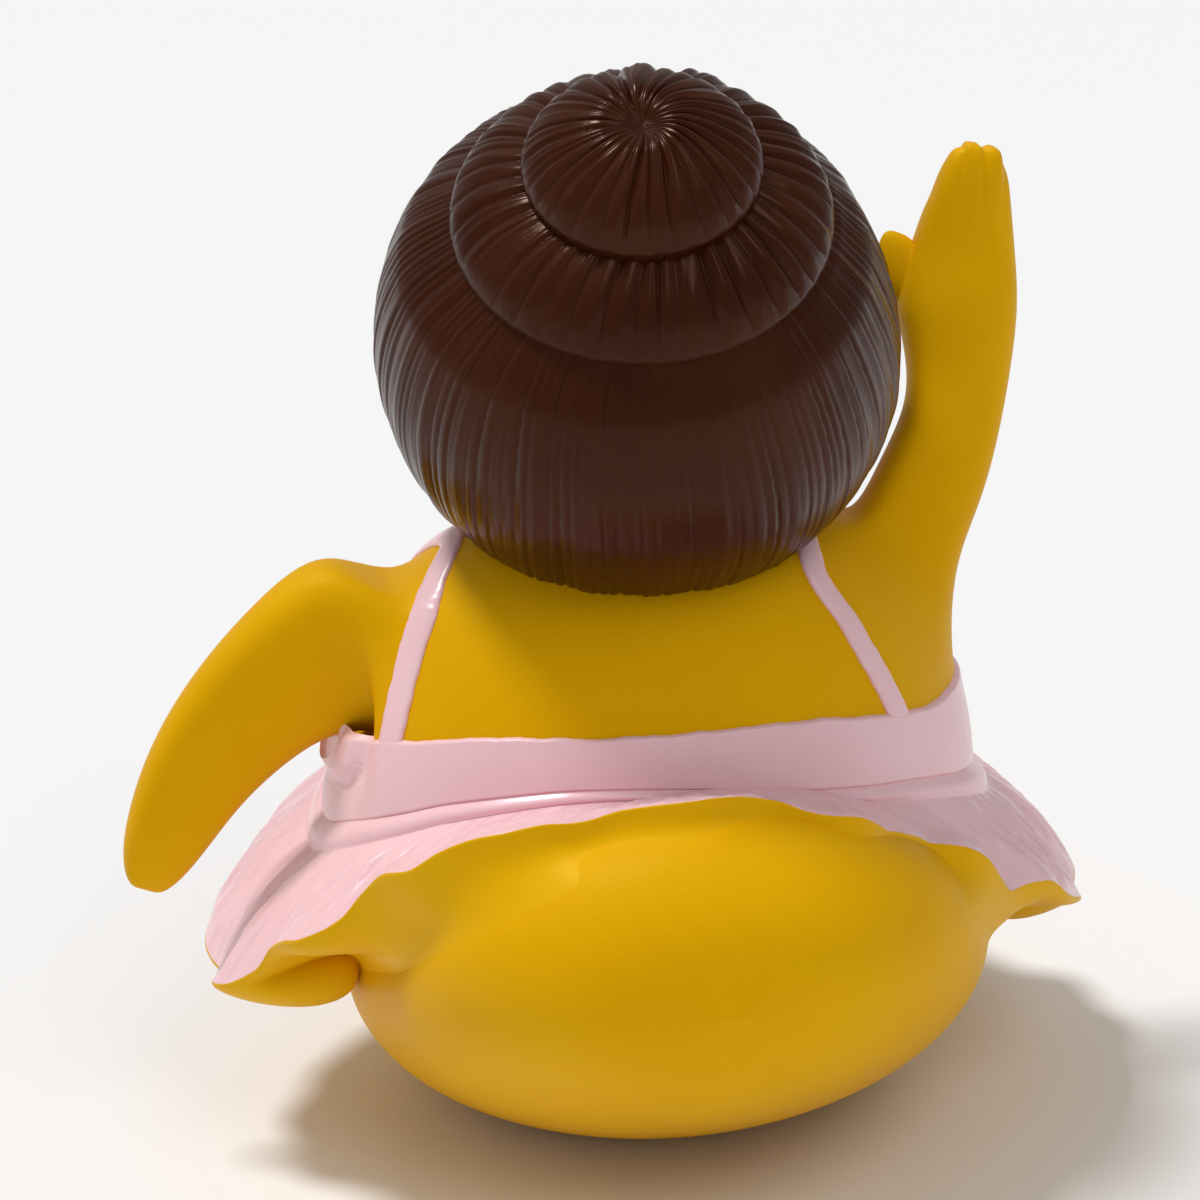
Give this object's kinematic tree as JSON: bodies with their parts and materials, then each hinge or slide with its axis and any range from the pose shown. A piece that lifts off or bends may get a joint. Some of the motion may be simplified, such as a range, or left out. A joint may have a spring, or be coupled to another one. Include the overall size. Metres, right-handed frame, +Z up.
{
  "type": "rubber duck",
  "caption": "Hollow vinyl bath duck in a ballet dress, with a ruffled skirt, a lowered wing, a raised wing and hair in a two-tier bun.",
  "frame": {"origin": "middle of the flat base, on the surface it stands on", "axes": "+Z up; the duck faces -Y with its tail towards +Y; its lowered wing is on +X and its raised wing on -X"},
  "size_m": [0.092, 0.0751, 0.1024],
  "materials": {
    "vinyl": "matte yellow vinyl with painted hair, dress, beak and eyes"
  },
  "bodies": {
    "root": {"duck": "vinyl"}
  },
  "joints": []
}
